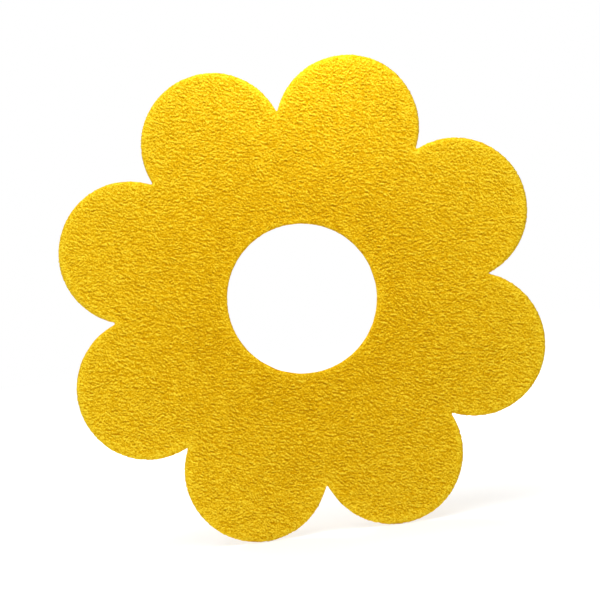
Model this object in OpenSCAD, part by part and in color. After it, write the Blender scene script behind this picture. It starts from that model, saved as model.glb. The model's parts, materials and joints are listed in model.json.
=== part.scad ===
// Soft Elizabethan collar in the shape of a flower: one die-cut sheet of thick felt with a neck opening
// and a radial slit. Two webbing straps sewn to the back carry hook patches, cross the slit and grip
// loop patches on the other side of it.
// The collar stands upright, as it is worn: its front faces -Y, the slit runs down -Z, and the origin is
// the centre of the neck opening on the sheet's back face. Each piece is drawn as if the sheet lay on its
// back, front up at +Z and slit along -Y, and is then stood up. Units are millimetres.

/* [Flower outline] */
// Diameter across the petal tips
flower_d = 240; // [210:1:320]
// Diameter across the points where the arcs of neighbouring petals cross
notch_d = 180; // [160:1:200]
// Number of petals
petals = 8; // [8:4:16]
// Height of the narrow floor of each notch above the point where the arcs cross
notch_floor_h = 0.8; // [0.5:0.1:3]

/* [Felt sheet] */
// Thickness of the felt
felt_t = 4; // [2:0.5:8]
// Diameter of the neck opening
neck_d = 72; // [50:1:90]
// Width of the slit between the two flaps
slit_w = 0.6; // [0.4:0.1:2]

/* [Straps] */
// Width of the webbing, of the hook tape and of the loop tape
strap_w = 20; // [14:1:23]
// Thickness of the webbing
strap_t = 1.2; // [0.8:0.1:2]
// Length of each strap that is sewn to the right flap
strap_sewn_l = 24; // [16:1:40]
// Length over which a strap slopes away from the sheet to reach past the slit
strap_ramp_l = 8; // [6:1:14]
// Length of the free flap that peels off
strap_flap_l = 46; // [36:1:56]
// Length of the bare finger grip at the end of the flap
strap_grip_l = 9; // [5:1:15]
// Corner radius of the flap's free end
strap_corner_r = 4; // [1:0.5:6]

/* [Hook patches] */
// Thickness of the hook tape's base
hook_base_t = 0.5; // [0.4:0.1:0.8]
// Height of one hook above the base
hook_h = 1.1; // [1:0.1:2]
// Outer radius of the hook's bend
hook_bend_r = 0.45; // [0.4:0.05:0.6]
// Thickness of the hook's wire
hook_wire_t = 0.22; // [0.16:0.02:0.3]
// Length of the tip that points back at the base
hook_tip_l = 0.2; // [0.1:0.05:0.3]
// Width of one hook across the tape
hook_w = 0.6; // [0.4:0.1:1]
// Distance from hook to hook
hook_pitch = 2.2; // [1.8:0.1:4]

/* [Loop patches] */
// Length of each loop patch along its strap
loop_l = 44; // [30:1:54]
// Thickness of the loop tape's base
loop_base_t = 0.5; // [0.4:0.1:1]
// Height of the looped pile on the base
loop_pile_h = 0.9; // [0.7:0.1:2]
// Corner radius of each loop patch and hook patch
patch_corner_r = 1.5; // [0.5:0.1:2]

/* [Stitching] */
// Width of the thread where it lies flat on the tape
thread_w = 0.6; // [0.4:0.05:0.8]
// Height that the thread stands above the tape
thread_h = 0.3; // [0.2:0.05:0.5]
// Length of one stitch
stitch_l = 2.4; // [1.8:0.1:2.6]
// Distance from the start of one stitch to the next, at least
stitch_pitch = 3.4; // [3.2:0.1:5]
// Distance from the edge of a tape to its line of stitches
stitch_inset = 1.2; // [0.9:0.1:1.5]

/* [Clearances] */
// Gap between the hook tips and the looped pile
hook_gap = 0.1; // [0.05:0.05:0.5]
// Distance from the slit to the edge of a strap's sewn end
strap_edge_gap = 1; // [0.5:0.5:4]
// Gap between a line of stitches and the hooks or the pile beside it
pile_gap = 0.6; // [0.4:0.1:1]

/* [Hidden] */
$fn = 48;

// Colours of the felt, the webbing, the hook and loop tapes and the thread
FELT = [0.90, 0.72, 0.11];
WEBBING = [0.85, 0.64, 0.09];
TAPE = [0.93, 0.92, 0.88];
THREAD = [0.95, 0.80, 0.25];

// The petals are circles. Their radius, and the ring that their centres lie on, follow from two diameters.
tip_r = flower_d / 2;
cross_r = notch_d / 2;
petal_step = 360 / petals;
half_step = petal_step / 2;
petal_ring_r = (tip_r * tip_r - cross_r * cross_r) / (2 * (tip_r - cross_r * cos(half_step)));
petal_r = tip_r - petal_ring_r;

// The floor of a notch is the end of a short bar whose corners lie inside the petals on both sides
notch_bottom_r = cross_r + notch_floor_h;
web_start_r = petal_ring_r * cos(half_step);
web_w = petal_r * 0.12;

// The straps share the slit evenly between the neck opening and the notch
neck_r = neck_d / 2;
slit_l = notch_bottom_r - neck_r;
inner_y = -(neck_r + slit_l * 0.25);
outer_y = -(neck_r + slit_l * 0.75);

// Levels behind the sheet, measured down from its back face
loop_t = loop_base_t + loop_pile_h;
strap_drop = loop_t + hook_gap + hook_h + hook_base_t;

// Places along a strap: sewn end, start of the slope, bend line and free end
strap_start_x = slit_w / 2 + strap_edge_gap;
strap_end_x = strap_start_x + strap_sewn_l;
strap_bend_x = strap_start_x - strap_ramp_l;
strap_tip_x = strap_bend_x - strap_flap_l;

// The hook patch keeps a stitch width clear of the bend line, and the loop patch starts at the bend line
hook_l = strap_flap_l - strap_grip_l - 2 * stitch_inset;
hook_start_x = strap_tip_x + strap_grip_l;
loop_start_x = strap_bend_x - loop_l;
// Bare margin round the hooks and round the pile, wide enough for the stitches
sewing_margin = stitch_inset + thread_w / 2 + pile_gap;
// A hook sinks this far into the base that it grows from
hook_root = hook_base_t / 2;

// Stands up what is drawn with the sheet lying on its back
module stand_up() {
    rotate([90, 0, 0]) children();
}

// 2D rectangle with one corner at the origin and all four corners round
module round_rectangle(length, width, radius) {
    translate([radius, 0]) square([length - 2 * radius, width]);
    translate([0, radius]) square([length, width - 2 * radius]);
    for (x = [radius, length - radius], y = [radius, width - radius])
        translate([x, y]) circle(radius);
}

module flower_outline() {
    difference() {
        union() {
            polygon([for (i = [0 : petals - 1])
                petal_ring_r * [cos((i + 0.5) * petal_step), sin((i + 0.5) * petal_step)]]);
            for (i = [0 : petals - 1]) {
                rotate((i + 0.5) * petal_step) translate([petal_ring_r, 0]) circle(petal_r, $fn = 128);
                rotate(i * petal_step) translate([web_start_r, -web_w / 2])
                    square([notch_bottom_r - web_start_r, web_w]);
            }
        }
        circle(neck_r, $fn = 128);
    }
}

// The part of the sheet inside a rectangle from one corner to the opposite one
module felt_segment(low, high) {
    color(FELT) linear_extrude(felt_t) intersection() {
        flower_outline();
        translate(low) square(high - low);
    }
}

// Upper half of the sheet, which stays put when the collar is opened
module felt_crown() {
    felt_segment([-flower_d, 0], [flower_d, flower_d]);
}

// Quarter of the sheet on the left of the slit, which bends forward
module felt_left_flap() {
    felt_segment([-flower_d, -flower_d], [-slit_w / 2, 0]);
}

// Quarter of the sheet on the right of the slit, which bends back
module felt_right_flap() {
    felt_segment([slit_w / 2, -flower_d], [flower_d, 0]);
}

// Sewn end of a strap, with the slope that carries the webbing past the slit
module strap_root(y) {
    color(WEBBING) translate([0, y, 0]) rotate([90, 0, 0])
        linear_extrude(strap_w, center = true) polygon([
            [strap_end_x, 0], [strap_start_x, 0], [strap_bend_x, -strap_drop],
            [strap_bend_x, -strap_drop - strap_t], [strap_start_x, -strap_t], [strap_end_x, -strap_t]
        ]);
}

// Free end of a strap, square at the bend line and round at the finger grip
module strap_flap(y) {
    color(WEBBING) translate([strap_tip_x, y - strap_w / 2, -strap_drop - strap_t]) linear_extrude(strap_t) {
        round_rectangle(strap_flap_l, strap_w, strap_corner_r);
        translate([strap_flap_l / 2, 0]) square([strap_flap_l / 2, strap_w]);
    }
}

// Side view of one hook that stands on the X axis, with its tip at +X
module hook_profile() {
    translate([0, -hook_root]) square([hook_wire_t, hook_root + hook_h - hook_bend_r]);
    translate([hook_bend_r, hook_h - hook_bend_r]) difference() {
        circle(hook_bend_r, $fn = 24);
        circle(hook_bend_r - hook_wire_t, $fn = 24);
        translate([-hook_bend_r, -hook_bend_r]) square([2 * hook_bend_r, hook_bend_r]);
    }
    translate([2 * hook_bend_r - hook_wire_t, hook_h - hook_bend_r - hook_tip_l])
        square([hook_wire_t, hook_tip_l]);
}

// Even rows of hooks on a field that starts at the origin and runs along +X and +Y
module hook_field(length, width) {
    columns = floor((length - 2 * hook_bend_r) / hook_pitch);
    rows = floor((width - hook_w) / hook_pitch);
    for (i = [0 : columns - 1], j = [0 : rows - 1])
        translate([(i + 0.5) * length / columns - hook_bend_r, (j + 0.5) * width / rows, 0])
            rotate([90, 0, 0]) linear_extrude(hook_w, center = true) hook_profile();
}

// Hook tape with its base on the strap and its hooks facing the sheet
module hook_patch(y) {
    color(TAPE) translate([hook_start_x, y - strap_w / 2, -strap_drop]) {
        linear_extrude(hook_base_t) round_rectangle(hook_l, strap_w, patch_corner_r);
        translate([sewing_margin, sewing_margin, hook_base_t])
            hook_field(hook_l - 2 * sewing_margin, strap_w - 2 * sewing_margin);
    }
}

// Loop tape with its base on the felt and its pile facing away from it
module loop_patch(y) {
    color(TAPE) translate([loop_start_x, y - strap_w / 2, 0]) {
        translate([0, 0, -loop_base_t]) linear_extrude(loop_base_t)
            round_rectangle(loop_l, strap_w, patch_corner_r);
        translate([sewing_margin, sewing_margin, -loop_t]) linear_extrude(loop_t)
            round_rectangle(loop_l - 2 * sewing_margin, strap_w - 2 * sewing_margin, patch_corner_r);
    }
}

// Even row of stitches along +X, in an even number so that the middle of the row is a gap
module stitch_row(length) {
    count = 2 * floor(length / stitch_pitch / 2);
    thread_r = thread_w / 2;
    for (i = [0 : count - 1])
        translate([(i + 0.5) * length / count, 0]) {
            square([stitch_l - thread_w, thread_w], center = true);
            for (end = [-1, 1])
                translate([end * (stitch_l / 2 - thread_r), 0]) circle(thread_r, $fn = 16);
        }
}

// Stitches round a rectangle
module stitch_box(length, width) {
    for (y = [0, width]) translate([0, y]) stitch_row(length);
    for (x = [0, length]) translate([x, 0]) rotate(90) stitch_row(width);
}

// Stitches along both diagonals of a rectangle, clear of its corners
module stitch_cross(length, width) {
    diagonal = sqrt(length * length + width * width) - 2 * stitch_l;
    for (side = [-1, 1])
        translate([length / 2, width / 2]) rotate(side * atan2(width, length))
            translate([-diagonal / 2, 0]) stitch_row(diagonal);
}

// Stitches near the edge of a tape of the given length that starts at x and is centred on y
module tape_stitching(x, y, z, length, crossed) {
    color(THREAD) translate([x + stitch_inset, y - strap_w / 2 + stitch_inset, z]) linear_extrude(thread_h) {
        stitch_box(length - 2 * stitch_inset, strap_w - 2 * stitch_inset);
        if (crossed) stitch_cross(length - 2 * stitch_inset, strap_w - 2 * stitch_inset);
    }
}

module strap_stitching(y) {
    tape_stitching(strap_start_x, y, -strap_t - thread_h, strap_sewn_l, true);
}

// The seam of the hook tape goes through the webbing and shows on both sides
module hook_stitching(y) {
    for (z = [-strap_drop + hook_base_t, -strap_drop - strap_t - thread_h])
        tape_stitching(hook_start_x, y, z, hook_l, false);
}

module loop_stitching(y) {
    tape_stitching(loop_start_x, y, -loop_base_t - thread_h, loop_l, false);
}

stand_up() felt_crown();
stand_up() felt_left_flap();
stand_up() felt_right_flap();
stand_up() strap_root(inner_y);  // inner_strap_root
stand_up() strap_stitching(inner_y);  // inner_strap_stitching
stand_up() strap_flap(inner_y);  // inner_strap_flap
stand_up() hook_patch(inner_y);  // inner_hook_patch
stand_up() hook_stitching(inner_y);  // inner_hook_stitching
stand_up() loop_patch(inner_y);  // inner_loop_patch
stand_up() loop_stitching(inner_y);  // inner_loop_stitching
stand_up() strap_root(outer_y);  // outer_strap_root
stand_up() strap_stitching(outer_y);  // outer_strap_stitching
stand_up() strap_flap(outer_y);  // outer_strap_flap
stand_up() hook_patch(outer_y);  // outer_hook_patch
stand_up() hook_stitching(outer_y);  // outer_hook_stitching
stand_up() loop_patch(outer_y);  // outer_loop_patch
stand_up() loop_stitching(outer_y);  // outer_loop_stitching
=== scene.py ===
"""Dresses the flower collar: fuzzy felt sheet, webbing straps, hook and loop patches, and thread.

The collar is drawn as if it lay on its back, front up at +Z and slit along -Y, in millimetres. Each mesh is
stood up into the part's frame, in metres, when it is made.
"""

import json
import math

import bpy
import numpy as np
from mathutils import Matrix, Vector
from mathutils.geometry import delaunay_2d_cdt
from mathutils.kdtree import KDTree


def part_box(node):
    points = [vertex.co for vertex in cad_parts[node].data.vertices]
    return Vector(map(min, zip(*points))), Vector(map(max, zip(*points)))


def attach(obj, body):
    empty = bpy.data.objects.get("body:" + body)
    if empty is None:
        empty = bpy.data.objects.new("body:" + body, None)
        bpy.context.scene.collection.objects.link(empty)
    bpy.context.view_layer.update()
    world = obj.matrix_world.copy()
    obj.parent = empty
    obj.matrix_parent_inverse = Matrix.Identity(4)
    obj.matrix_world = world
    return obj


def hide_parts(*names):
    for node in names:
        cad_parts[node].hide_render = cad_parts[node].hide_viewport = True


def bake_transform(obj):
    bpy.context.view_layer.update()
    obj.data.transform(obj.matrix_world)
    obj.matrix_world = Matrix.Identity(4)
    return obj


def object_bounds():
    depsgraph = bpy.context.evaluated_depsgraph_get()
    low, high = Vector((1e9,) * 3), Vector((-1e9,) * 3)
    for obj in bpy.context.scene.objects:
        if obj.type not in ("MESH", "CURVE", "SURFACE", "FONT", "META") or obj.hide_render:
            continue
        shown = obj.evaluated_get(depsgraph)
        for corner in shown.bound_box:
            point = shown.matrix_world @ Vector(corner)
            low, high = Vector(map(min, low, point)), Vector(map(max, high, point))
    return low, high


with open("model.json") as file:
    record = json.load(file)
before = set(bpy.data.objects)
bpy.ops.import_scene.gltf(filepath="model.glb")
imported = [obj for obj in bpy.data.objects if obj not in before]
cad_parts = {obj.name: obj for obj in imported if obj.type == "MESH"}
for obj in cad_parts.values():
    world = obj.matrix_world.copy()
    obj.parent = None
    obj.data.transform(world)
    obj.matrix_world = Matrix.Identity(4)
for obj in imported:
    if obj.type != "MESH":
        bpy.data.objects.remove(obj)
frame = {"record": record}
cad_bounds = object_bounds()

MM = 0.001
TURN = 2 * math.pi
WHITE = (1.0, 1.0, 1.0, 1.0)
SEED = 11
random = np.random.default_rng(SEED)


def stand(points):
    """Metres in the part's upright frame from millimetres in the drawing."""
    points = np.asarray(points, float) * MM
    return np.stack([points[..., 0], -points[..., 2], points[..., 1]], -1)


def node_mm(node):
    """Lowest and highest corner of a CAD node in the drawing."""
    low, high = np.array(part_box(node)) / MM
    return np.array([low[0], low[2], -high[1]]), np.array([high[0], high[2], -low[1]])


# Flower outline: round petals whose arcs cross at the notches
PETALS = 8
TIP_R = 120.0
CROSS_R = 90.0
NOTCH_FLOOR_R = 90.8
NOTCH_ROUNDING = 0.4
OUTLINE_STEPS = 20000
HALF_STEP = math.pi / PETALS
RING_R = (TIP_R**2 - CROSS_R**2) / (2 * (TIP_R - CROSS_R * math.cos(HALF_STEP)))
PETAL_R = TIP_R - RING_R

# Felt sheet
FELT_T = node_mm("felt_crown")[1][2]
NECK_R = frame["record"]["mounts"][0]["dims"]["r_mm"]

# Rims of cut sheets: how far the front edge is rounded inwards and downwards, and the back edge both ways
FELT_RIM = (2.6, 1.5, 0.8)
TAPE_RIM = (0.15, 0.15, 0.15)
RIM_STEPS = 4
WALL_SHARES = [0.1, 0.6]
BACK_RIM_STEPS = 2
SHOULDER = 0.06

# Spacing of mesh points on the edge, the front and the back of the felt, and on the tapes; points inside
# an edge stay away from it by a share of their spacing
EDGE_SPACING = 0.6
FRONT_SPACING = 0.53
BACK_SPACING = 1.05
TAPE_SPACING = 0.4
EDGE_CLEARANCE = 0.6
TRIANGLES_INSIDE_EDGE = 1
MERGE_DISTANCE = 1e-6

# Directions for starting the ring of a tube: the first that is well away from the whole path is used
TUBE_HELPERS = np.array([(0.0, 1.0, 0.0), (1.0, 0.0, 0.0)])
SLANTED_HELPER = np.array([0.3, 0.5, 0.8])
NEARLY_ALONG = 0.9

# How far each stretch of the felt's edge is rounded on the front and the back, as a share of the petals' rim
PETAL_ROUNDING = (1.0, 1.0)
NECK_ROUNDING = (0.7, 0.7)
SLIT_ROUNDING = (0.05, 0.4)
SEAM_ROUNDING = (0.01, 0.01)
ROUNDING_BLEND = 4

# Pile of the felt: short streaks that run mostly across the flower, with longer fibres among them, flatter
# near the cut edge; headings are in degrees
PILE_GRID = 1000
PILE_STEP = 0.25
STREAK_L = 0.24
STREAK_W = 0.24
STREAK_HEADINGS = [-36.0, -26.0, -16.0, -6.0, 4.0]
HEADING_SPREAD = 3.0
HEADING_RANGE = 1.5
HEADING_FOCUS = 2.0
RIDGE_HOLLOW = 2.0
FIBRE_L = 0.75
FIBRE_W = 0.32
FIBRE_HEADING = -22.0
FIBRE_SHARE = 0.4
PILE_H = 0.225
PILE_SINK = 0.6
SWELL_L = 11.0
SWELL_H = 0.14
BACK_PILE_L = 2.0
BACK_PILE_W = 0.9
BACK_PILE_HEADING = -16.0
BACK_PILE_H = 0.08
BACK_PILE_CREST = 1.5
RIM_BAND = 3.2
RIM_FLATTENING = 0.5

# Webbing: herringbone yarns along the strap that go over and under the picks, with sealed ends
RAMP_L = 8.0
STRAP_CORNER_R = 4.0
STRAP_SEAL = 0.6
SEAL_ROUNDING = 0.9
STRAP_SIDE_TURNS = [-60, -30, 0, 30, 60]
STRAP_STEPS = 4000
YARN_PITCH = 1.25
PICK_PITCH = 1.5
CHEVRON = np.array([0, 1, 2, 3, 4, 3, 2, 1]) / 4
FLOAT_EDGE = 2.2
WEAVE_H = 0.18
WEAVE_UNDER = 0.3
STEPS_PER_YARN = 5

# Hook and loop tapes
PATCH_CORNER_R = 1.5
PATCH_CORNER_STEPS = 24
SEWING_MARGIN = 2.1
HOOK_H = 1.1
HOOK_BASE_T = 0.5
HOOK_BEND_R = 0.45
HOOK_BEND_STEPS = 6
HOOK_WIRE_T = 0.22
HOOK_TIP_L = 0.2
HOOK_W = 0.6
HOOK_PITCH = 2.2
WIRES_PER_HOOK = 3
WIRE_R = 0.09
WIRE_SIDES = 6
WIRE_STRAIGHT = 0.3
WIRE_SLACK = (0.92, 0.99)
WIRE_SWAY = 0.04
WIRE_SHIFT = 0.05
LOOP_BASE_T = 0.5
LOOP_PILE_H = 0.9
LOOP_SPACING = 0.85
LOOP_PLACE = (0.2, 0.8)
LOOP_REACH = (0.35, 0.6)
LOOP_RISE = (0.6, 1.0)
LOOP_LEAN = (-0.3, 0.3)
LOOP_STEPS = 7
LOOP_YARN_R = 0.07
LOOP_YARN_SIDES = 4
MAT_H = 0.3
MAT_EDGE = 0.6
MAT_UNEVEN = 0.3
RIB_PITCH = 0.9
RIB_H = 0.05

# Thread: two plies twisted together in each stitch
STITCH_L = 2.4
STITCH_PITCH = 3.4
STITCH_INSET = 1.2
STITCH_STEPS = 10
PLY_R = 0.17
PLY_SIDES = 5
PLY_OFFSET = 0.13
PLY_TURNS = 1.5
STITCH_CREST = 0.1
STITCH_DIP = 0.35
STITCH_FLATNESS = 4
DIMPLE_W = 0.5
DIMPLE_H = 0.12

# Photograph's framing, in pixels: a straight view of the front, turned a little in the picture
PHOTO_W = 600
PHOTO_TIP_R = 250.1
MM_PER_PIXEL = TIP_R / PHOTO_TIP_R
PHOTO_CENTRE = (301.9, 298.5)
PHOTO_TURN = math.radians(7.67)
LENS = 100.0
SENSOR = 36.0

# Streaks in the materials: heading in degrees, squeeze along it, scale per millimetre and detail, and the
# share of each layer where several add up to a grain
NOISE_MEAN = 0.5
FELT_GRAIN = [
    ((-12.0, 0.42, 2.3, 1.0), 0.5),
    ((-42.0, 0.45, 2.6, 1.0), 0.5),
    ((-20.0, 0.12, 4.5, 1.0), 0.3),
    ((28.0, 0.12, 4.5, 1.0), 0.3),
]
FELT_GRAIN_START = -0.2
FELT_BACK_GRAIN = [((-10.0, 0.42, 1.4, 0.5), 1.0), ((-32.0, 0.32, 1.5, 0.5), 1.0)]
FELT_BACK_START = -1.0
YARN_STREAKS = (0.0, 0.08, 6.0, 2.0)
KNIT_STREAKS = (90.0, 0.3, 4.0, 1.0)

# What each pattern adds to the tone of the felt and the webbing, and to the relief of the felt's back. The
# pile's term is painted light on its crests and painted shade in its hollows, and the weave's term is painted
# shade where the yarns dip under and between them; the felt is a little brighter along the cut edge as a
# painted highlight and towards the petal tips as painted light, which leaves it darker towards the neck
PILE_SHADE_TONE = 0.115
MOTTLE_TONE = 0.12
BACK_TONE = 0.33
# Painted highlight along the cut edge
RIM_HIGHLIGHT_TONE = 0.05
# Painted light: brighter towards the petal tips, darker towards the neck
TIP_LIGHT_TONE = 0.045
TIP_MIDDLE_R = 95.0
TIP_SPAN = 50.0
YARN_TONE = 0.5
WEAVE_SHADE_TONE = 0.5
BACK_RELIEF = 1.7

# Colours along each tone
FELT_TONES = [(0.42, (0.52, 0.24, 0.0)), (0.60, (0.757, 0.428, 0.0)), (0.78, (0.985, 0.745, 0.035))]
FELT_SHEEN = (1.0, 0.75, 0.05, 1.0)
WEBBING_TONES = [(0.15, (0.50, 0.25, 0.001)), (0.50, (0.76, 0.44, 0.003)), (0.85, (0.92, 0.62, 0.02))]
TAPE_TONES = [(0.3, (0.72, 0.69, 0.60)), (0.7, (0.86, 0.84, 0.77))]
THREAD_TONES = [(0.3, (0.80, 0.55, 0.03)), (0.7, (0.96, 0.76, 0.14))]

# Lights: diameter in metres, energy, and place as distance from the centre and height above the back of the
# felt, or as a point in the drawing
KEY_LIGHT = (0.8, 5.5)
KEY_PLACE = (520.0, 420.0)
KEY_TURN = math.radians(12)
TOP_LIGHT = (0.06, 0.045)
TOP_PLACE = (160.0, 50.0)
BACK_LIGHT = (0.8, 7.6)
BACK_PLACE = (-420.0, 520.0, -620.0)
FILL_STRENGTH = 0.2

# Floor: for the camera it also glows, less near the collar, so that the shadow shows there
FLOOR_HALF = 3000.0
FLOOR_GAP = 0.3
FLOOR_COLOUR = (0.85, 0.85, 0.85, 1.0)
SEEN_FLOOR_COLOUR = (0.55, 0.55, 0.55, 1.0)
FLOOR_GLOW = {"From Min": 0.15, "From Max": 0.6, "To Min": 0.5, "To Max": 1.0}


def make_mesh(name, points, faces, material):
    """New smooth mesh object from points in millimetres, which it keeps as its rest position."""
    mesh = bpy.data.meshes.new(name)
    mesh.from_pydata(stand(points).tolist(), [], faces)
    mesh.polygons.foreach_set("use_smooth", np.ones(len(faces), bool))
    mesh.materials.append(material)
    mesh.update()
    piece = bpy.data.objects.new(name, mesh)
    bpy.context.scene.collection.objects.link(piece)
    rest = mesh.attributes.new("rest_mm", "FLOAT_VECTOR", "POINT")
    rest.data.foreach_set("vector", np.asarray(points, np.float32).ravel())
    return piece


def grid_faces(rows, columns):
    """Quads of a grid stored row by row, with each row's end joined to its start."""
    i, j = np.meshgrid(np.arange(rows - 1), np.arange(columns), indexing="ij")
    k = (j + 1) % columns
    quads = np.stack([i * columns + j, i * columns + k, (i + 1) * columns + k, (i + 1) * columns + j], -1)
    return quads.reshape(-1, 4).tolist()


def tube(path, radius, sides):
    """Points and faces of a closed tube along a path."""
    ahead = np.gradient(path, axis=0)
    ahead /= np.linalg.norm(ahead, axis=1)[:, None]
    clear = [helper for helper in TUBE_HELPERS if np.abs(ahead @ helper).max() < NEARLY_ALONG]
    first = np.cross(ahead, clear[0] if clear else SLANTED_HELPER)
    first /= np.linalg.norm(first, axis=1)[:, None]
    second = np.cross(ahead, first)
    turn = np.arange(sides) * TURN / sides
    ring = np.cos(turn)[None, :, None] * first[:, None] + np.sin(turn)[None, :, None] * second[:, None]
    points = (path[:, None] + ring * radius).reshape(-1, 3)
    faces = grid_faces(len(path), sides)
    last = (len(path) - 1) * sides
    faces.append(list(range(sides))[::-1])
    faces.append(list(range(last, last + sides)))
    return points, faces


def join_parts(parts):
    """Joins (points, faces) pairs whose faces count from zero into one pair."""
    points = []
    faces = []
    count = 0
    for part_points, part_faces in parts:
        points.append(part_points)
        faces.extend([[corner + count for corner in face] for face in part_faces])
        count += len(part_points)
    return np.concatenate(points), faces


class Nodes:
    """Short way to write a material's node tree."""

    def __init__(self, name, roughness, sheen=0.0, sheen_roughness=0.5, specular=0.25):
        self.material = bpy.data.materials.new(name)
        self.material.use_nodes = True
        self.tree = self.material.node_tree
        self.shader = self.tree.nodes["Principled BSDF"]
        self.shader.inputs["Roughness"].default_value = roughness
        self.shader.inputs["Sheen Weight"].default_value = sheen
        self.shader.inputs["Sheen Roughness"].default_value = sheen_roughness
        self.shader.inputs["Specular IOR Level"].default_value = specular

    def add(self, kind, **values):
        """Adds a node and sets its properties, or its inputs where no property has that name."""
        node = self.tree.nodes.new(kind)
        for key, value in values.items():
            if hasattr(node, key):
                setattr(node, key, value)
            else:
                self.put(value, node.inputs[key])
        return node

    def put(self, value, socket):
        """Links a socket or sets a constant."""
        if isinstance(value, bpy.types.NodeSocket):
            self.tree.links.new(value, socket)
        else:
            socket.default_value = value

    def rest(self):
        """Position on the part at rest, in millimetres."""
        return self.add("ShaderNodeAttribute", attribute_name="rest_mm").outputs["Vector"]

    def attribute(self, name):
        """Number stored for each point of a piece."""
        return self.add("ShaderNodeAttribute", attribute_name=name).outputs["Fac"]

    def math(self, operation, *values):
        """Result of arithmetic on sockets and numbers."""
        node = self.add("ShaderNodeMath", operation=operation)
        for value, socket in zip(values, node.inputs):
            self.put(value, socket)
        return node.outputs[0]

    def total(self, start, *terms):
        """Sum of a start value and (value, share) pairs."""
        for value, share in terms:
            start = self.math("MULTIPLY_ADD", value, share, start)
        return start

    def noise(self, vector, scale, detail):
        """Noise that is alike in all directions."""
        return self.add("ShaderNodeTexNoise", Vector=vector, Scale=scale, Detail=detail).outputs["Fac"]

    def warp(self, vector, scale, amount):
        """Vector pushed about by a slow noise."""
        noise = self.add("ShaderNodeTexNoise", Vector=vector, Scale=scale, Detail=1.0)
        centred = self.add("ShaderNodeVectorMath", operation="SUBTRACT")
        self.put(noise.outputs["Color"], centred.inputs[0])
        centred.inputs[1].default_value = (NOISE_MEAN, NOISE_MEAN, NOISE_MEAN)
        scaled = self.add("ShaderNodeVectorMath", operation="SCALE")
        self.put(centred.outputs[0], scaled.inputs[0])
        scaled.inputs["Scale"].default_value = amount
        moved = self.add("ShaderNodeVectorMath", operation="ADD")
        self.put(vector, moved.inputs[0])
        self.put(scaled.outputs[0], moved.inputs[1])
        return moved.outputs[0]

    def streaks(self, vector, heading, squeeze, scale, detail):
        """Noise drawn out along a heading in degrees."""
        turned = self.add("ShaderNodeMapping", Vector=vector)
        turned.inputs["Rotation"].default_value = (0.0, 0.0, -math.radians(heading))
        drawn = self.add("ShaderNodeMapping", Vector=turned.outputs[0])
        drawn.inputs["Scale"].default_value = (squeeze, 1.0, 1.0)
        return self.noise(drawn.outputs[0], scale, detail)

    def layers(self, vector, start, table):
        """Sum of a start value and layers of streaks, each with its share."""
        return self.total(start, *[(self.streaks(vector, *streaks), share) for streaks, share in table])

    def ramp(self, value, stops):
        """Colour ramp from (place, colour) pairs."""
        ramp = self.add("ShaderNodeValToRGB")
        self.put(value, ramp.inputs[0])
        elements = ramp.color_ramp.elements
        while len(elements) < len(stops):
            elements.new(0.5)
        for element, (place, colour) in zip(elements, stops):
            element.position = place
            element.color = (*colour, 1.0)
        return ramp.outputs["Color"]

    def finish(self, colour, height, depth):
        """Joins colour and bump height to the shader; depth is the bump's height in millimetres."""
        self.put(colour, self.shader.inputs["Base Color"])
        bump = self.add("ShaderNodeBump", Height=height)
        bump.inputs["Distance"].default_value = depth * MM
        self.put(bump.outputs[0], self.shader.inputs["Normal"])
        return self.material


def felt_material():
    """Yellow needle-punched felt: painted light on the crests and painted shade in the golden hollows of the
    pile's streaks, a painted highlight along the cut edge and painted light towards the petal tips.

    The front has its pile in the mesh; on the back broader streaks are drawn here.
    """
    nodes = Nodes("yellow_felt", roughness=0.95, sheen=0.08, sheen_roughness=0.45, specular=0.08)
    nodes.shader.inputs["Sheen Tint"].default_value = FELT_SHEEN
    rest = nodes.rest()
    wavy = nodes.warp(rest, scale=0.3, amount=1.0)
    wavy = nodes.warp(wavy, scale=1.1, amount=0.4)
    grain = nodes.layers(wavy, FELT_GRAIN_START, FELT_GRAIN)
    broad = nodes.layers(wavy, FELT_BACK_START, FELT_BACK_GRAIN)
    broad = nodes.math("MULTIPLY", broad, nodes.attribute("back"))
    mottle = nodes.math("SUBTRACT", nodes.noise(rest, scale=0.22, detail=1.0), NOISE_MEAN)
    tone = nodes.total(
        grain,
        # Pile height as tone: painted light on the crests and painted shade in the hollows
        (nodes.attribute("pile"), PILE_SHADE_TONE),
        (mottle, MOTTLE_TONE),
        (broad, BACK_TONE),
        # Painted highlight: the felt a little brighter along the cut edge
        (nodes.attribute("rim"), RIM_HIGHLIGHT_TONE),
        # Painted light: brighter towards the petal tips, darker towards the neck
        (nodes.attribute("tip"), TIP_LIGHT_TONE),
    )
    relief = nodes.total(grain, (broad, BACK_RELIEF))
    return nodes.finish(nodes.ramp(tone, FELT_TONES), relief, depth=0.3)


def webbing_material():
    """Woven webbing in a deeper yellow, with fine yarns along the strap and painted shade where the yarns dip
    under.
    """
    nodes = Nodes("yellow_webbing", roughness=0.7, sheen=0.15)
    yarn = nodes.streaks(nodes.rest(), *YARN_STREAKS)
    # The weave's height paints shade where the yarns dip under and between them; the yarn streaks are the
    # webbing's own grain
    tone = nodes.total(0.0, (yarn, YARN_TONE), (nodes.attribute("weave"), WEAVE_SHADE_TONE))
    return nodes.finish(nodes.ramp(tone, WEBBING_TONES), yarn, depth=0.12)


def tape_material(name, roughness):
    """Off-white nylon of the hook and loop tapes."""
    nodes = Nodes(name, roughness=roughness, sheen=0.1)
    rest = nodes.rest()
    mottle = nodes.noise(rest, scale=0.6, detail=3.0)
    knit = nodes.streaks(rest, *KNIT_STREAKS)
    return nodes.finish(nodes.ramp(mottle, TAPE_TONES), knit, depth=0.15)


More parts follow.
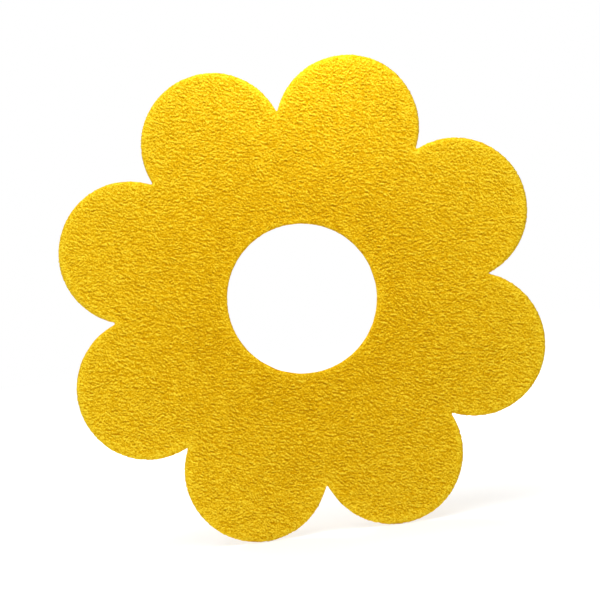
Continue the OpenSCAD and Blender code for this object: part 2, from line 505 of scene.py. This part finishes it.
def thread_material():
    """Twisted yellow sewing thread."""
    nodes = Nodes("yellow_thread", roughness=0.55, sheen=0.1)
    ply = nodes.noise(nodes.rest(), scale=5.0, detail=2.0)
    return nodes.finish(nodes.ramp(ply, THREAD_TONES), ply, depth=0.05)


FELT = felt_material()
WEBBING = webbing_material()
HOOK_TAPE = tape_material("hook_nylon", roughness=0.45)
LOOP_TAPE = tape_material("loop_nylon", roughness=0.8)
THREAD = thread_material()


def smeared_noise(length, width, heading, hollow=0.0):
    """Periodic field of unit spread: white noise smeared along a heading in degrees.

    A hollow above zero takes away what is wider than that many widths, which leaves ridges side by side.
    """
    frequency = np.fft.fftfreq(PILE_GRID, PILE_STEP)
    fx, fy = np.meshgrid(frequency, frequency)
    turn = math.radians(heading)
    along = TURN * length * (fx * math.cos(turn) + fy * math.sin(turn))
    across = TURN * width * (fy * math.cos(turn) - fx * math.sin(turn))
    gain = np.exp(-0.5 * across**2)
    if hollow:
        gain -= np.exp(-0.5 * (hollow * across) ** 2)
    white = random.standard_normal((PILE_GRID, PILE_GRID))
    field = np.fft.ifft2(np.fft.fft2(white) * gain * np.exp(-0.5 * along**2)).real
    return (field - field.mean()) / field.std()


def pile_field():
    """Short streaks whose heading swings a little from place to place, with longer fibres among them."""
    swing = smeared_noise(HEADING_SPREAD, HEADING_SPREAD, 0.0)
    centres = np.linspace(-HEADING_RANGE, HEADING_RANGE, len(STREAK_HEADINGS))
    field = np.zeros_like(swing)
    total = np.zeros_like(swing)
    for centre, heading in zip(centres, STREAK_HEADINGS):
        share = np.exp(-HEADING_FOCUS * (swing - centre) ** 2)
        field += share * smeared_noise(STREAK_L, STREAK_W, heading, RIDGE_HOLLOW)
        total += share**2
    fibres = smeared_noise(FIBRE_L, FIBRE_W, FIBRE_HEADING, RIDGE_HOLLOW)
    return (field / np.sqrt(total) + FIBRE_SHARE * fibres) / math.hypot(1, FIBRE_SHARE)


def sample(field, x, y):
    """Value of a periodic field between its grid points."""
    column = x / PILE_STEP + PILE_GRID / 2
    row = y / PILE_STEP + PILE_GRID / 2
    left = np.floor(column).astype(int)
    lower = np.floor(row).astype(int)
    across = column - left
    upward = row - lower
    right = (left + 1) % PILE_GRID
    upper = (lower + 1) % PILE_GRID
    left %= PILE_GRID
    lower %= PILE_GRID
    low = field[lower, left] * (1 - across) + field[lower, right] * across
    high = field[upper, left] * (1 - across) + field[upper, right] * across
    return low * (1 - upward) + high * upward


def outline_radius(angle):
    """Distance from the centre to the flower's edge at an angle from +X."""
    off_petal = (np.asarray(angle) % (2 * HALF_STEP)) - HALF_STEP
    across = RING_R * np.sin(off_petal)
    petal = RING_R * np.cos(off_petal) + np.sqrt(PETAL_R**2 - across**2)
    gap = petal - NOTCH_FLOOR_R
    return NOTCH_FLOOR_R + (gap + np.sqrt(gap**2 + NOTCH_ROUNDING**2)) / 2


def walk(points, spacing):
    """Points spaced evenly along a polyline, without its last point."""
    steps = np.hypot(*np.diff(points, axis=0).T)
    walked = np.concatenate([[0.0], np.cumsum(steps)])
    place = np.linspace(0, walked[-1], int(walked[-1] / spacing) + 1)[:-1]
    return np.stack([np.interp(place, walked, column) for column in points.T], -1)


def half_edge():
    """Edge of the sheet's left half, counterclockwise from the top notch, and how far it is rounded.

    The rounding has one row for the front and one for the back, with a value for each point of the edge.
    """
    turn = np.linspace(math.pi / 2, 3 * math.pi / 2, OUTLINE_STEPS + 1)
    direction = np.stack([np.cos(turn), np.sin(turn)], -1)
    petals = direction * outline_radius(turn)[:, None]
    neck = NECK_R * direction[::-1]
    for stretch in (petals, neck):
        stretch[:, 0] = np.minimum(stretch[:, 0], 0.0)
        stretch[[0, -1], 0] = 0.0
    stretches = [
        (petals, PETAL_ROUNDING),
        (np.array([petals[-1], neck[0]]), SLIT_ROUNDING),
        (neck, NECK_ROUNDING),
        (np.array([neck[-1], petals[0]]), SEAM_ROUNDING),
    ]
    points = [walk(stretch, EDGE_SPACING) for stretch, _ in stretches]
    rounding = [np.tile(rounded, (len(part), 1)).T for part, (_, rounded) in zip(points, stretches)]
    rounding = np.concatenate(rounding, axis=1)
    near = [np.roll(rounding, shift, axis=1) for shift in range(-ROUNDING_BLEND, ROUNDING_BLEND + 1)]
    lowest = np.min(near, axis=0)
    near = [np.roll(lowest, shift, axis=1) for shift in range(-ROUNDING_BLEND, ROUNDING_BLEND + 1)]
    return np.concatenate(points), np.minimum(np.mean(near, axis=0), rounding)


def nearest(points, targets):
    """Number of the target nearest to each point in the plane, and how far away it is."""
    tree = KDTree(len(targets))
    for index, place in enumerate(targets):
        tree.insert((*place, 0.0), index)
    tree.balance()
    found = [tree.find((*place, 0.0)) for place in points]
    return np.array([item[1] for item in found]), np.array([item[2] for item in found])


def fill_points(edge, outward, spacing):
    """Even points inside an edge, kept away from it by a share of their spacing."""
    low, high = edge.min(0), edge.max(0)
    row_step = spacing * math.sqrt(3) / 2
    rows = np.arange(low[1], high[1], row_step)
    columns = np.arange(low[0], high[0], spacing)
    x, y = np.meshgrid(columns, rows)
    x = x + spacing / 2 * (np.arange(len(rows)) % 2)[:, None]
    points = np.stack([x.ravel(), y.ravel()], -1)
    index, _ = nearest(points, edge)
    depth = -np.sum((points - edge[index]) * outward[index], -1)
    return points[depth > EDGE_CLEARANCE * spacing]


def triangles(edge, inside):
    """Triangles between edge points, numbered first, and the points inside the edge."""
    points = [Vector(place) for place in np.concatenate([edge, inside]).tolist()]
    count = len(edge)
    sides = [(i, (i + 1) % count) for i in range(count)]
    result = delaunay_2d_cdt(points, sides, [], TRIANGLES_INSIDE_EDGE, MERGE_DISTANCE)
    source = [original[0] for original in result[3]]
    return [[source[corner] for corner in face] for face in result[2]]


def cut_sheet(edge, rounding, levels, rim, front_spacing, back_spacing):
    """Flat sheet between two levels, cut along a counterclockwise edge with a rounded rim.

    A narrow flat shoulder on each side of the rim keeps the shading of the faces even. Returns points, faces,
    the direction in which relief moves each point, and which points are on the front.
    """
    low, high = levels
    rim_in, rim_down, back_rim = rim
    front_rounding, back_rounding = rounding
    along = np.roll(edge, -1, 0) - np.roll(edge, 1, 0)
    outward = np.stack([along[:, 1], -along[:, 0]], -1)
    outward /= np.linalg.norm(outward, axis=1)[:, None]

    # Rows of the rim, from the front over the wall to the back
    turn = np.linspace(0, math.pi / 2, RIM_STEPS + 1)[[0, *range(RIM_STEPS + 1)], None]
    back_turn = np.linspace(0, math.pi / 2, BACK_RIM_STEPS + 1)[[*range(BACK_RIM_STEPS + 1), -1], None]
    front_z = high - rim_down * (1 - np.cos(turn)) * front_rounding
    back_z = low + back_rim * (1 - np.sin(back_turn)) * back_rounding
    share = np.array(WALL_SHARES)[:, None]
    wall_z = front_z[-1] * (1 - share) + back_z[0] * share
    rim_z = np.concatenate([front_z, wall_z, back_z])
    still = np.zeros((len(WALL_SHARES), len(edge)))
    inset = np.concatenate([
        rim_in * (1 - np.sin(turn)) * front_rounding,
        still,
        back_rim * (1 - np.cos(back_turn)) * back_rounding,
    ])
    inset[[0, -1]] += SHOULDER
    fuzz = np.clip(front_rounding - SLIT_ROUNDING[0], 0, 1)
    lean_out = np.concatenate([np.sin(turn), 0 * share + 1, np.cos(back_turn)]) * fuzz
    lean_up = np.concatenate([np.cos(turn), 0 * share, -np.sin(back_turn)])
    rim_xy = edge - inset[..., None] * outward
    rim_lean = np.concatenate([
        lean_out[..., None] * outward,
        np.broadcast_to(lean_up, rim_z.shape)[..., None],
    ], -1)

    # Points of the rim, then of the front, then of the back
    front_xy = fill_points(rim_xy[0], outward, front_spacing)
    back_xy = fill_points(rim_xy[-1], outward, back_spacing)
    rows, count = rim_z.shape
    points = np.concatenate([
        np.concatenate([rim_xy, rim_z[..., None]], -1).reshape(-1, 3),
        np.column_stack([front_xy, np.full(len(front_xy), high)]),
        np.column_stack([back_xy, np.full(len(back_xy), low)]),
    ])
    lean = np.concatenate([
        rim_lean.reshape(-1, 3),
        np.tile((0.0, 0.0, 1.0), (len(front_xy), 1)),
        np.tile((0.0, 0.0, -1.0), (len(back_xy), 1)),
    ])
    front_start = rows * count
    back_start = front_start + len(front_xy)
    front = np.ones(len(points), bool)
    front[back_start:] = False
    front[len(turn) * count : front_start] = False

    faces = [face[::-1] for face in grid_faces(rows, count)]
    for face in triangles(rim_xy[0], front_xy):
        faces.append([c if c < count else c - count + front_start for c in face])
    last_row = (rows - 1) * count
    for face in triangles(rim_xy[-1], back_xy):
        faces.append([c + last_row if c < count else c - count + back_start for c in face][::-1])
    return points, faces, lean, front


def put_values(piece, name, values):
    """Stores one number for each point of a piece for its material."""
    attribute = piece.data.attributes.new(name, "FLOAT", "POINT")
    attribute.data.foreach_set("value", np.asarray(values, np.float32))


def felt_half(name, side, pile, swell, back_pile):
    """Half of the felt sheet, from the top notch round to the slit, with its pile and gentle swell.

    side is -1 on the left and 1 on the right.
    """
    edge, rounding = half_edge()
    if side > 0:
        edge = edge[::-1] * (-1, 1)
        rounding = rounding[:, ::-1]
    points, faces, lean, front = cut_sheet(
        edge, rounding, (0.0, FELT_T - PILE_SINK), FELT_RIM, FRONT_SPACING, BACK_SPACING
    )
    _, depth = nearest(points[:, :2], edge[rounding[0] > SLIT_ROUNDING[0]])
    band = np.exp(-((depth / RIM_BAND) ** 2))
    xy = points[:, :2].T
    front_pile = sample(pile, *xy) * (1 - RIM_FLATTENING * band)
    raised = PILE_H * front_pile + SWELL_H * sample(swell, *xy)
    sunk = BACK_PILE_H * np.minimum(sample(back_pile, *xy) - BACK_PILE_CREST, 0.0)
    points = points + lean * np.where(front, raised, sunk)[:, None]
    piece = make_mesh(name, points, faces, FELT)
    # Pile height for the material, which paints light on its crests and shade in its hollows
    put_values(piece, "pile", np.where(front, front_pile, 0.0))
    # The band along the cut edge also carries the painted highlight there
    put_values(piece, "rim", band)
    put_values(piece, "back", ~front)
    # Distance towards the petal tips, for the painted light that brightens them
    put_values(piece, "tip", (np.hypot(*xy) - TIP_MIDDLE_R) / TIP_SPAN)
    return piece


def felt_sheet():
    """Both halves of the sheet, drawn in place of the felt of the crown and the flaps."""
    pile = pile_field()
    swell = smeared_noise(SWELL_L, SWELL_L, 0.0)
    back_pile = smeared_noise(BACK_PILE_L, BACK_PILE_W, BACK_PILE_HEADING)
    for word, side in (("left", -1), ("right", 1)):
        piece = felt_half(f"felt_{word}_half", side, pile, swell, back_pile)
        flap = f"{word}_flap"
        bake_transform(piece)
        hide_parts(f"felt_{flap}", "felt_crown")


felt_sheet()


def stitch_row(start, end):
    """Centres and heading of an even number of stitches between two points."""
    start, end = np.array(start), np.array(end)
    length = np.linalg.norm(end - start)
    count = 2 * int(length / STITCH_PITCH / 2)
    heading = math.atan2(end[1] - start[1], end[0] - start[0])
    return [(start + (end - start) * (i + 0.5) / count, heading) for i in range(count)]


def seam_lines(low, high, crossed):
    """Lines of a seam round a tape, inside its edge, with both diagonals where it is crossed."""
    x0, y0 = low[:2] + STITCH_INSET
    x1, y1 = high[:2] - STITCH_INSET
    lines = [((x0, y0), (x1, y0)), ((x0, y1), (x1, y1)), ((x0, y0), (x0, y1)), ((x1, y0), (x1, y1))]
    if crossed:
        middle = np.array([(x0 + x1) / 2, (y0 + y1) / 2])
        diagonal = np.array([x1 - x0, y1 - y0]) / 2
        reach = diagonal * (1 - STITCH_L / np.linalg.norm(diagonal))
        for mirror in ((1, 1), (1, -1)):
            lines.append((tuple(middle - reach * mirror), tuple(middle + reach * mirror)))
    return lines


def seam_dimple(points, lines):
    """How deep the thread pulls each point in, from 0 to 1."""
    depth = np.zeros(len(points))
    for start, end in lines:
        start, end = np.array(start), np.array(end)
        line = end - start
        share = np.clip((points[:, :2] - start) @ line / (line @ line), 0, 1)
        away = np.linalg.norm(points[:, :2] - start - share[:, None] * line, axis=1)
        depth = np.maximum(depth, np.exp(-((away / DIMPLE_W) ** 2)))
    return depth


def stitches(lines, level, up):
    """Twisted stitches along lines on a surface at a level; up is 1 where it faces +Z and -1 otherwise."""
    t = np.linspace(-0.5, 0.5, STITCH_STEPS + 1)
    lift = STITCH_CREST - STITCH_DIP * (2 * t) ** STITCH_FLATNESS
    parts = []
    for start, end in lines:
        for centre, heading in stitch_row(start, end):
            c, s = math.cos(heading), math.sin(heading)
            for first_turn in (0.0, math.pi):
                twist = TURN * PLY_TURNS * t + first_turn
                side = PLY_OFFSET * np.cos(twist)
                x = centre[0] + STITCH_L * t * c - side * s
                y = centre[1] + STITCH_L * t * s + side * c
                z = level + up * (lift + PLY_OFFSET * np.sin(twist))
                parts.append(tube(np.column_stack([x, y, z]), PLY_R, PLY_SIDES))
    return parts


def round_rectangle(low, high):
    """Edge of a tape with round corners, counterclockwise."""
    r = PATCH_CORNER_R
    corners = [
        (high[0] - r, low[1] + r, -90),
        (high[0] - r, high[1] - r, 0),
        (low[0] + r, high[1] - r, 90),
        (low[0] + r, low[1] + r, 180),
    ]
    arcs = []
    for x, y, first in corners:
        turn = np.radians(np.linspace(first, first + 90, PATCH_CORNER_STEPS + 1))
        arcs.append(np.column_stack([x + r * np.cos(turn), y + r * np.sin(turn)]))
    return walk(np.concatenate([*arcs, arcs[0][:1]]), TAPE_SPACING)


def tape_base(name, low, high, levels, lines, material, mat):
    """Thin ribbed tape, pulled in along its seam; mat raises the field inside the seam on its back."""
    edge = round_rectangle(low, high)
    points, faces, lean, _ = cut_sheet(
        edge, np.ones((2, len(edge))), levels, TAPE_RIM, TAPE_SPACING, TAPE_SPACING
    )
    relief = RIB_H * np.cos(TURN * points[:, 1] / RIB_PITCH) - RIB_H
    relief -= DIMPLE_H * seam_dimple(points, lines)
    if mat:
        field_low = low[:2] + SEWING_MARGIN
        field_high = high[:2] - SEWING_MARGIN
        inside = np.min([points[:, :2] - field_low, field_high - points[:, :2]], axis=(0, 2))
        back = lean[:, 2] < 0
        lumps = 1 - MAT_UNEVEN + MAT_UNEVEN * random.random(len(points))
        relief += np.where(back, MAT_H * np.clip(inside / MAT_EDGE, 0, 1) * lumps, 0.0)
    return make_mesh(name, points + lean * relief[:, None], faces, material)


def hook_wires(low, high):
    """Rows of bent wires that stand on the hook tape with their tips back towards it."""
    foot = low[2] + HOOK_BASE_T
    field_low = low[:2] + SEWING_MARGIN
    length, width = high[:2] - low[:2] - 2 * SEWING_MARGIN
    columns = int((length - 2 * HOOK_BEND_R) / HOOK_PITCH)
    rows = int((width - HOOK_W) / HOOK_PITCH)
    inner_r = HOOK_BEND_R - HOOK_WIRE_T / 2
    turn = np.linspace(math.pi, 0, HOOK_BEND_STEPS + 1)
    bend_x = HOOK_BEND_R + inner_r * np.cos(turn)
    bend_z = HOOK_H - HOOK_BEND_R + inner_r * np.sin(turn)
    profile_x = np.concatenate([[bend_x[0], bend_x[0]], bend_x, [bend_x[-1]]])
    tip_z = HOOK_H - HOOK_BEND_R - HOOK_TIP_L
    profile_z = np.concatenate([[-HOOK_BASE_T / 2, WIRE_STRAIGHT], bend_z, [tip_z]])
    offsets = np.linspace(-1, 1, WIRES_PER_HOOK) * (HOOK_W / 2 - WIRE_R)
    parts = []
    for i in range(columns):
        for j in range(rows):
            x = field_low[0] + (i + 0.5) * length / columns - HOOK_BEND_R
            y = field_low[1] + (j + 0.5) * width / rows
            for offset in offsets:
                slack = random.uniform(*WIRE_SLACK)
                sway = random.normal(0, WIRE_SWAY)
                path = np.column_stack([
                    x + profile_x + random.normal(0, WIRE_SHIFT),
                    np.full(len(profile_x), y + offset) + sway * profile_z,
                    foot + profile_z * slack,
                ])
                parts.append(tube(path, WIRE_R, WIRE_SIDES))
    return parts


def loop_yarns(low, high):
    """Small arched loops that stand close together on the loop tape, towards -Z."""
    foot = high[2] - LOOP_BASE_T
    field_low = low[:2] + SEWING_MARGIN + LOOP_YARN_R
    field_high = high[:2] - SEWING_MARGIN - LOOP_YARN_R
    counts = ((field_high - field_low) / LOOP_SPACING).astype(int)
    turn = np.linspace(0, math.pi, LOOP_STEPS + 1)
    parts = []
    for i in range(counts[0]):
        for j in range(counts[1]):
            cell = np.array([i, j]) + random.uniform(*LOOP_PLACE, 2)
            middle = field_low + cell * (field_high - field_low) / counts
            heading = random.uniform(0, TURN)
            reach = random.uniform(*LOOP_REACH)
            rise = random.uniform(*LOOP_RISE) * (LOOP_PILE_H - LOOP_YARN_R)
            lean = random.uniform(*LOOP_LEAN)
            along = reach * np.cos(turn)
            aside = lean * np.sin(turn)
            x = middle[0] + along * math.cos(heading) - aside * math.sin(heading)
            y = middle[1] + along * math.sin(heading) + aside * math.cos(heading)
            path = np.column_stack([
                np.clip(x, field_low[0], field_high[0]),
                np.clip(y, field_low[1], field_high[1]),
                foot - rise * np.sin(turn),
            ])
            parts.append(tube(path, LOOP_YARN_R, LOOP_YARN_SIDES))
    return parts


def weave(across, along):
    """Height of the herringbone weave from 0 to 1."""
    place = across / YARN_PITCH
    yarn = np.floor(place + 0.5).astype(int)
    crown = np.sqrt(np.maximum(1 - (2 * (place - yarn)) ** 2, 0.0))
    phase = CHEVRON[yarn % len(CHEVRON)]
    over = 0.5 + 0.5 * np.tanh(FLOAT_EDGE * np.cos(TURN * (along / (2 * PICK_PITCH) - phase)))
    return crown * (WEAVE_UNDER + (1 - WEAVE_UNDER) * over)


def strap(name, lines):
    """Webbing from its sewn end over the slope past the slit to the round tip, as one woven strip."""
    _, root_high = node_mm(f"{name}_strap_root")
    flap_low, flap_high = node_mm(f"{name}_strap_flap")
    thickness = flap_high[2] - flap_low[2]
    half_w = (flap_high[1] - flap_low[1]) / 2
    middle = (flap_high[1] + flap_low[1]) / 2
    bend_x = flap_high[0]

    x = np.linspace(root_high[0], flap_low[0], STRAP_STEPS + 1)
    share = np.clip((bend_x + RAMP_L - x) / RAMP_L, 0, 1)
    z = flap_high[2] * share**2 * (3 - 2 * share) - thickness / 2
    walked = np.concatenate([[0.0], np.cumsum(np.hypot(np.diff(x), np.diff(z)))])
    length = walked[-1]
    place = np.linspace(0, length, int(length / (PICK_PITCH / STEPS_PER_YARN)) + 1)
    x = np.interp(place, walked, x)
    z = np.interp(place, walked, z)
    tilt = np.arctan2(np.gradient(z), -np.gradient(x))

    seal = np.minimum(place, length - place) / STRAP_SEAL
    half_t = thickness / 2 * np.sqrt(1 - np.clip(SEAL_ROUNDING - seal, 0, 1) ** 2)
    short = np.clip(STRAP_CORNER_R - (length - place), 0, STRAP_CORNER_R)
    row_half_w = half_w - (STRAP_CORNER_R - np.sqrt(STRAP_CORNER_R**2 - short**2))

    flat_w = half_w - thickness / 2
    spread = np.linspace(-flat_w, flat_w, int(2 * flat_w / (YARN_PITCH / STEPS_PER_YARN)) + 1)
    turn = np.radians(STRAP_SIDE_TURNS)
    ring_y = np.concatenate([
        spread,
        flat_w + thickness / 2 * np.cos(turn),
        spread[::-1],
        -flat_w - thickness / 2 * np.cos(turn),
    ])
    ring_up = np.concatenate([
        np.full(len(spread), -1.0),
        np.sin(turn),
        np.full(len(spread), 1.0),
        np.sin(turn)[::-1],
    ])
    across = ring_y * (row_half_w / half_w)[:, None]
    woven = weave(across, place[:, None] + 0 * across)
    rise = ring_up * (half_t[:, None] + WEAVE_H * (woven - 1) * (np.abs(ring_up) == 1))
    flat_points = np.stack([x[:, None] + 0 * across, middle + across], -1).reshape(-1, 2)
    dimple = seam_dimple(flat_points, lines).reshape(across.shape)
    rise = rise * (1 - DIMPLE_H / thickness * 2 * dimple)
    points = np.stack([
        x[:, None] + np.sin(tilt)[:, None] * rise,
        middle + across,
        z[:, None] + np.cos(tilt)[:, None] * rise,
    ], -1)
    rows, count = across.shape
    faces = [face[::-1] for face in grid_faces(rows, count)]
    faces.append(list(range(count)))
    faces.append([(rows - 1) * count + c for c in range(count)][::-1])
    piece = make_mesh(f"{name}_strap_webbing", points.reshape(-1, 3), faces, WEBBING)
    # Weave height, which the material turns into painted shade where the yarns dip under
    put_values(piece, "weave", woven.ravel())
    return piece, length


def closure(name):
    """One strap with its hook tape, the loop tape that it grips, and the thread of all three seams."""
    strap_body = f"{name}_strap"
    root_low, root_high = node_mm(f"{name}_strap_root")
    flap_low, flap_high = node_mm(f"{name}_strap_flap")
    hook_low, hook_high = node_mm(f"{name}_hook_patch")
    loop_low, loop_high = node_mm(f"{name}_loop_patch")
    bend_x = flap_high[0]

    sewn_low = np.array([bend_x + RAMP_L, root_low[1], 0.0])
    strap_seam = seam_lines(sewn_low, root_high, True)
    hook_seam = seam_lines(hook_low, hook_high, False)
    loop_seam = seam_lines(loop_low, loop_high, False)

    webbing, length = strap(name, strap_seam + hook_seam)
    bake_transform(webbing)
    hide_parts(f"{name}_strap_root", f"{name}_strap_flap")

    hook_top = hook_low[2] + HOOK_BASE_T
    base = tape_base(
        f"{name}_hook_tape", hook_low, hook_high, (hook_low[2], hook_top), hook_seam, HOOK_TAPE, False
    )
    hooks = make_mesh(f"{name}_hooks", *join_parts(hook_wires(hook_low, hook_high)), HOOK_TAPE)
    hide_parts(f"{name}_hook_patch")
    loop_bottom = loop_high[2] - LOOP_BASE_T
    loop_base = tape_base(
        f"{name}_loop_tape", loop_low, loop_high, (loop_bottom, loop_high[2]), loop_seam, LOOP_TAPE, True
    )
    loops = make_mesh(f"{name}_loops", *join_parts(loop_yarns(loop_low, loop_high)), LOOP_TAPE)
    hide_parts(f"{name}_loop_patch")

    seams = {
        "strap": ("right_flap", stitches(strap_seam, -(flap_high[2] - flap_low[2]), -1)),
        "hook": (strap_body, stitches(hook_seam, hook_top, 1) + stitches(hook_seam, flap_low[2], -1)),
        "loop": ("left_flap", stitches(loop_seam, loop_bottom, -1)),
    }
    for seam, (body, parts) in seams.items():
        thread = make_mesh(f"{name}_{seam}_thread", *join_parts(parts), THREAD)
        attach(thread, body)
        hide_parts(f"{name}_{seam}_stitching")

    patches = (
        (base, hooks, strap_body, "hook_tape", hook_high - hook_low, webbing.name),
        (loop_base, loops, "left_flap", "loop_tape", loop_high - loop_low, "felt_left_half"),
    )
    for tape, pile, body, slot, size, under in patches:
        for piece in (tape, pile):
            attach(piece, body)


closure("inner")
closure("outer")


def aim_camera():
    """Straight-on camera that frames the flower as the photograph does."""
    data = bpy.data.cameras.new("camera")
    data.lens = LENS
    data.sensor_width = SENSOR
    camera = bpy.data.objects.new("camera", data)
    bpy.context.scene.collection.objects.link(camera)
    distance = PHOTO_W * MM_PER_PIXEL * LENS / SENSOR
    right = (PHOTO_W / 2 - PHOTO_CENTRE[0]) * MM_PER_PIXEL
    up = (PHOTO_CENTRE[1] - PHOTO_W / 2) * MM_PER_PIXEL
    c, s = math.cos(-PHOTO_TURN), math.sin(-PHOTO_TURN)
    camera.location = stand((right * c - up * s, right * s + up * c, FELT_T + distance))
    camera.rotation_euler = (math.pi / 2, PHOTO_TURN, 0.0)
    bpy.context.scene.camera = camera


def add_softbox(name, place, size, energy):
    """Round area light at a place in the drawing, aimed at the neck opening."""
    data = bpy.data.lights.new(name, "AREA")
    data.shape = "DISK"
    data.size = size
    data.energy = energy
    softbox = bpy.data.objects.new(name, data)
    bpy.context.scene.collection.objects.link(softbox)
    softbox.location = stand(place)
    softbox.rotation_euler = (-softbox.location).to_track_quat("-Z", "Y").to_euler()


def light_up():
    """Softboxes at the top left in front and behind, a small light close above the upper petals, and fill.

    The fill comes evenly from all of the world, which looks white to the camera.
    """
    up = math.pi / 2 - PHOTO_TURN
    lights = (("key", up + KEY_TURN, KEY_PLACE, KEY_LIGHT), ("top", up, TOP_PLACE, TOP_LIGHT))
    for name, turn, (distance, height), light in lights:
        add_softbox(name, (distance * math.cos(turn), distance * math.sin(turn), height), *light)
    add_softbox("back", BACK_PLACE, *BACK_LIGHT)
    world = bpy.data.worlds.new("world")
    world.use_nodes = True
    tree = world.node_tree
    fill = tree.nodes["Background"]
    fill.inputs["Color"].default_value = WHITE
    fill.inputs["Strength"].default_value = FILL_STRENGTH
    white = tree.nodes.new("ShaderNodeBackground")
    white.inputs["Color"].default_value = WHITE
    path = tree.nodes.new("ShaderNodeLightPath")
    mix = tree.nodes.new("ShaderNodeMixShader")
    tree.links.new(path.outputs["Is Camera Ray"], mix.inputs[0])
    tree.links.new(fill.outputs[0], mix.inputs[1])
    tree.links.new(white.outputs[0], mix.inputs[2])
    tree.links.new(mix.outputs[0], tree.nodes["World Output"].inputs["Surface"])
    bpy.context.scene.world = world


def lay_floor():
    """White floor under the lowest petals: it keeps a soft shadow there and is plain white further out."""
    level = cad_bounds[0][2] / MM - FLOOR_GAP
    r = FLOOR_HALF
    points = [(-r, level, r), (r, level, r), (r, level, -r), (-r, level, -r)]
    nodes = Nodes("floor_white", roughness=0.9)
    nodes.shader.inputs["Base Color"].default_value = FLOOR_COLOUR
    place = nodes.add("ShaderNodeNewGeometry").outputs["Position"]
    distance = nodes.add("ShaderNodeVectorMath", operation="LENGTH")
    nodes.put(place, distance.inputs[0])
    fade = nodes.add("ShaderNodeMapRange", Value=distance.outputs["Value"], **FLOOR_GLOW)
    glow = nodes.add("ShaderNodeEmission", Strength=fade.outputs["Result"])
    paper = nodes.add("ShaderNodeBsdfDiffuse", Color=SEEN_FLOOR_COLOUR)
    seen = nodes.add("ShaderNodeAddShader")
    nodes.put(glow.outputs[0], seen.inputs[0])
    nodes.put(paper.outputs[0], seen.inputs[1])
    path = nodes.add("ShaderNodeLightPath")
    mix = nodes.add("ShaderNodeMixShader")
    nodes.put(path.outputs["Is Camera Ray"], mix.inputs[0])
    nodes.put(nodes.shader.outputs[0], mix.inputs[1])
    nodes.put(seen.outputs[0], mix.inputs[2])
    nodes.put(mix.outputs[0], nodes.tree.nodes["Material Output"].inputs["Surface"])
    floor = make_mesh("floor", points, [[0, 1, 2, 3]], nodes.material)


aim_camera()
light_up()
lay_floor()
bpy.context.scene.view_settings.view_transform = "Standard"
